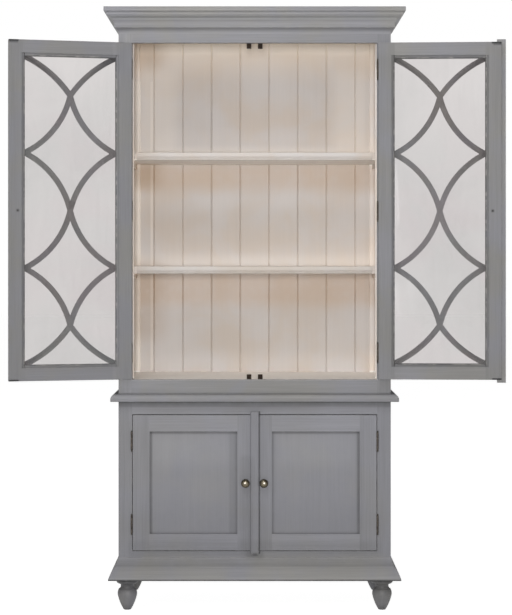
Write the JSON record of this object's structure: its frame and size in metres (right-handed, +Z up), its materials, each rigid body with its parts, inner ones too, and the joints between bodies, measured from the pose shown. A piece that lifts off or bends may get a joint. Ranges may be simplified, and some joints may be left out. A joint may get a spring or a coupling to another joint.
{
  "type": "display cabinet",
  "caption": "Tall two-part painted display cabinet: glazed upper case with curved-lattice doors standing open over a panelled cupboard, with cornice, shelves and turned feet.",
  "frame": {"origin": "on the floor, under the middle of the case", "axes": "+X to the cabinet's right as seen from the front, -Y out of the front, +Z up"},
  "size_m": [1.7929, 0.5611, 2.195],
  "materials": {
    "grey_paint": "painted mid grey",
    "cream_paint": "painted cream",
    "glass": "clear",
    "knob_brass": "aged",
    "hinge_bronze": "dark bronze",
    "strike_steel": "blackened",
    "catch_brown": "dark brown"
  },
  "bodies": {
    "case": {"base_board": "grey_paint", "base_moulding_front": "grey_paint", "base_moulding_returns": "grey_paint", "cap_board": "grey_paint", "cornice_front": "grey_paint", "cornice_returns": "grey_paint", "door_catches": "catch_brown", "feet": "grey_paint", "hinge_frame_leaves": "hinge_bronze", "lower_back_boards": "grey_paint", "lower_bottom_rail": "grey_paint", "lower_floor_board": "grey_paint", "lower_side_left": "grey_paint", "lower_side_right": "grey_paint", "lower_stile_left": "grey_paint", "lower_stile_right": "grey_paint", "lower_top_rail": "grey_paint", "shelf_high": "cream_paint", "shelf_low": "cream_paint", "shelf_supports": "cream_paint", "upper_back_boards": "cream_paint", "upper_bottom_rail": "grey_paint", "upper_ceiling_board": "cream_paint", "upper_floor_board": "cream_paint", "upper_side_left": "grey_paint", "upper_side_right": "grey_paint", "upper_stile_left": "grey_paint", "upper_stile_right": "grey_paint", "upper_top_rail": "grey_paint", "waist_board": "grey_paint"},
    "upper_door_left": {"upper_door_left_beads": "grey_paint", "upper_door_left_glass": "glass", "upper_door_left_hinge_leaves": "hinge_bronze", "upper_door_left_knob": "knob_brass", "upper_door_left_lattice": "grey_paint", "upper_door_left_rails": "grey_paint", "upper_door_left_stiles": "grey_paint", "upper_door_left_strikes": "strike_steel"},
    "upper_door_right": {"upper_door_right_astragal": "grey_paint", "upper_door_right_beads": "grey_paint", "upper_door_right_glass": "glass", "upper_door_right_hinge_leaves": "hinge_bronze", "upper_door_right_knob": "knob_brass", "upper_door_right_lattice": "grey_paint", "upper_door_right_rails": "grey_paint", "upper_door_right_stiles": "grey_paint", "upper_door_right_strikes": "strike_steel"},
    "lower_door_left": {"lower_door_left_astragal": "grey_paint", "lower_door_left_hinge_leaves": "hinge_bronze", "lower_door_left_knob": "knob_brass", "lower_door_left_panel": "grey_paint", "lower_door_left_rails": "grey_paint", "lower_door_left_stiles": "grey_paint", "lower_door_left_strikes": "strike_steel"},
    "lower_door_right": {"lower_door_right_hinge_leaves": "hinge_bronze", "lower_door_right_knob": "knob_brass", "lower_door_right_panel": "grey_paint", "lower_door_right_rails": "grey_paint", "lower_door_right_stiles": "grey_paint", "lower_door_right_strikes": "strike_steel"}
  },
  "joints": [
    {"name": "upper_left_hinge", "type": "hinge", "parent": "case", "child": "upper_door_left", "pos_m": [-0.4477, -0.219, 1.45575], "axis": [0, 0, 1], "range_deg": [-13, 167]},
    {"name": "upper_right_hinge", "type": "hinge", "parent": "case", "child": "upper_door_right", "pos_m": [0.4477, -0.219, 1.45575], "axis": [0, 0, 1], "range_deg": [-177, 3]},
    {"name": "lower_left_hinge", "type": "hinge", "parent": "case", "child": "lower_door_left", "pos_m": [-0.4477, -0.219, 0.4665], "axis": [0, 0, 1], "range_deg": [-175, 0]},
    {"name": "lower_right_hinge", "type": "hinge", "parent": "case", "child": "lower_door_right", "pos_m": [0.4477, -0.219, 0.4665], "axis": [0, 0, 1], "range_deg": [0, 175]}
  ],
  "couplings": [
    {"joint": "lower_right_hinge", "follows": "lower_left_hinge", "ratio": -1}
  ]
}
